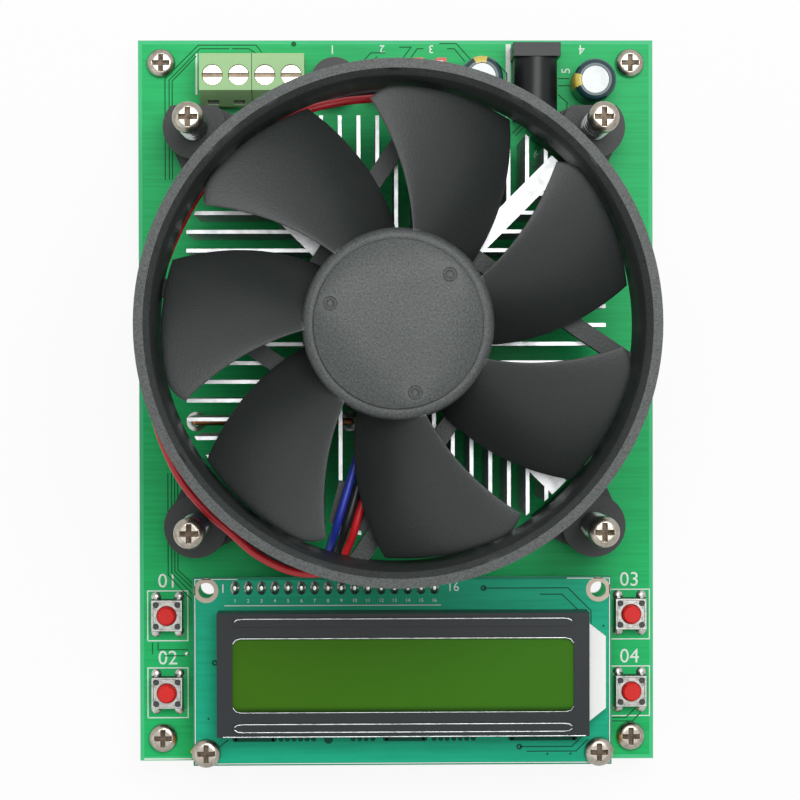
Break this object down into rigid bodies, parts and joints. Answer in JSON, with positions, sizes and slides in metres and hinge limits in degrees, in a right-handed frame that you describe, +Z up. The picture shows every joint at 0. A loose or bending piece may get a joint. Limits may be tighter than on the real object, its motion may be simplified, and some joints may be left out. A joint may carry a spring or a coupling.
{
  "type": "dc electronic load",
  "caption": "Open-board bench load: fan-cooled finned heatsink on a circuit board with a text display, push keys, screw terminals and a power jack.",
  "frame": {"origin": "under the middle of the main board, on the surface that the standoffs stand on", "axes": "+Z up through the fan, +Y towards the screw terminals, +X to the right as the display is read"},
  "size_m": [0.1, 0.14, 0.0647],
  "materials": {
    "board_green": "solder mask over copper",
    "display_board_green": "solder mask over copper",
    "brass": "turned",
    "screw_steel": "nickel plated",
    "spring_steel": "drawn wire",
    "heatsink_aluminium": "extruded",
    "pad_grey": "silicone pad",
    "fan_black": "moulded, fine texture",
    "chip_black": "moulded epoxy",
    "tinned": "tin plated",
    "motor_steel": "stamped",
    "ferrite": "sintered",
    "copper_wire": "enamelled copper",
    "bronze": "sintered",
    "terminal_green": "moulded",
    "jack_black": "moulded",
    "can_aluminium": "drawn",
    "sleeve_dark": "shrink film",
    "socket_red": "moulded",
    "plug_white": "moulded",
    "lead_red": "vinyl insulation",
    "lead_black": "vinyl insulation",
    "lead_blue": "vinyl insulation",
    "trimmer_blue": "moulded",
    "shunt_alloy": "bare wire",
    "key_black": "moulded",
    "cover_steel": "stamped",
    "button_red": "moulded",
    "bezel_black": "blackened steel",
    "display_glass": "polariser over yellow-green backlight",
    "backlight_white": "diffuser"
  },
  "bodies": {
    "board": {"main_pcb": "board_green", "board_standoffs": "brass", "corner_screws": "screw_steel", "heatsink": "heatsink_aluminium", "thermal_pad": "pad_grey", "transistor_bodies": "chip_black", "transistor_metal": "tinned", "fan_frame": "fan_black", "fan_bearing": "bronze", "stator_core": "motor_steel", "stator_coils": "copper_wire", "motor_board": "display_board_green", "cooler_screws": "screw_steel", "cooler_springs": "spring_steel", "cooler_nuts": "screw_steel", "terminal_housing_1": "terminal_green", "terminal_housing_2": "terminal_green", "terminal_bars": "tinned", "jack_body": "jack_black", "jack_contacts": "tinned", "capacitor_cans": "can_aluminium", "capacitor_sleeves": "sleeve_dark", "buzzer": "chip_black", "fan_socket": "socket_red", "fan_plug": "plug_white", "fan_lead_red": "lead_red", "fan_lead_black": "lead_black", "fan_lead_blue": "lead_blue", "contrast_trimmer": "trimmer_blue", "shunt_wire": "shunt_alloy", "board_chips": "chip_black", "key_bases": "key_black", "key_covers": "cover_steel", "key_legs": "tinned", "lcd_pcb": "display_board_green", "lcd_bezel": "bezel_black", "lcd_glass": "display_glass", "lcd_backlight": "backlight_white", "lcd_header": "chip_black", "lcd_socket": "chip_black", "lcd_standoffs": "brass", "lcd_screws": "screw_steel"},
    "rotor": {"fan_rotor": "fan_black", "rotor_yoke": "motor_steel", "rotor_magnet": "ferrite", "rotor_shaft": "motor_steel", "shaft_clip": "plug_white"},
    "trimmer": {"trimmer_rotor": "plug_white"},
    "button_1": {"button_1": "button_red"},
    "screw_1": {"terminal_screw_1": "screw_steel"},
    "cage_1": {"terminal_cage_1": "tinned"},
    "button_2": {"button_2": "button_red"},
    "screw_2": {"terminal_screw_2": "screw_steel"},
    "cage_2": {"terminal_cage_2": "tinned"},
    "button_3": {"button_3": "button_red"},
    "screw_3": {"terminal_screw_3": "screw_steel"},
    "cage_3": {"terminal_cage_3": "tinned"},
    "button_4": {"button_4": "button_red"},
    "screw_4": {"terminal_screw_4": "screw_steel"},
    "cage_4": {"terminal_cage_4": "tinned"}
  },
  "joints": [
    {"name": "fan_spin", "type": "hinge", "parent": "board", "child": "rotor", "pos_m": [-0.0005, 0.0142, 0.0637], "axis": [0, 0, 1], "continuous": true},
    {"name": "button_1_press", "type": "slide", "parent": "board", "child": "button_1", "axis": [0, 0, -1], "range_m": [0, 0.00025], "stiffness_N_per_m": 4000},
    {"name": "button_2_press", "type": "slide", "parent": "board", "child": "button_2", "axis": [0, 0, -1], "range_m": [0, 0.00025], "stiffness_N_per_m": 4000},
    {"name": "button_3_press", "type": "slide", "parent": "board", "child": "button_3", "axis": [0, 0, -1], "range_m": [0, 0.00025], "stiffness_N_per_m": 4000},
    {"name": "button_4_press", "type": "slide", "parent": "board", "child": "button_4", "axis": [0, 0, -1], "range_m": [0, 0.00025], "stiffness_N_per_m": 4000},
    {"name": "terminal_1_turn", "type": "hinge", "parent": "board", "child": "screw_1", "pos_m": [-0.0351, 0.0622, 0.0221], "axis": [0, 0, -1], "range_deg": [0, 1440]},
    {"name": "terminal_1_clamp", "type": "slide", "parent": "board", "child": "cage_1", "axis": [0, 0, 1], "range_m": [0, 0.002]},
    {"name": "terminal_2_turn", "type": "hinge", "parent": "board", "child": "screw_2", "pos_m": [-0.0301, 0.0622, 0.0221], "axis": [0, 0, -1], "range_deg": [0, 1440]},
    {"name": "terminal_2_clamp", "type": "slide", "parent": "board", "child": "cage_2", "axis": [0, 0, 1], "range_m": [0, 0.002]},
    {"name": "terminal_3_turn", "type": "hinge", "parent": "board", "child": "screw_3", "pos_m": [-0.0251, 0.0622, 0.0221], "axis": [0, 0, -1], "range_deg": [0, 1440]},
    {"name": "terminal_3_clamp", "type": "slide", "parent": "board", "child": "cage_3", "axis": [0, 0, 1], "range_m": [0, 0.002]},
    {"name": "terminal_4_turn", "type": "hinge", "parent": "board", "child": "screw_4", "pos_m": [-0.0201, 0.0622, 0.0221], "axis": [0, 0, -1], "range_deg": [0, 1440]},
    {"name": "terminal_4_clamp", "type": "slide", "parent": "board", "child": "cage_4", "axis": [0, 0, 1], "range_m": [0, 0.002]},
    {"name": "contrast_turn", "type": "hinge", "parent": "board", "child": "trimmer", "pos_m": [-0.0023, 0.062, 0.016], "axis": [0, 0, 1], "range_deg": [-125, 125]}
  ],
  "couplings": [
    {"joint": "terminal_1_turn", "follows": "terminal_1_clamp", "rad_per_m": 12566},
    {"joint": "terminal_2_turn", "follows": "terminal_2_clamp", "rad_per_m": 12566},
    {"joint": "terminal_3_turn", "follows": "terminal_3_clamp", "rad_per_m": 12566},
    {"joint": "terminal_4_turn", "follows": "terminal_4_clamp", "rad_per_m": 12566}
  ]
}
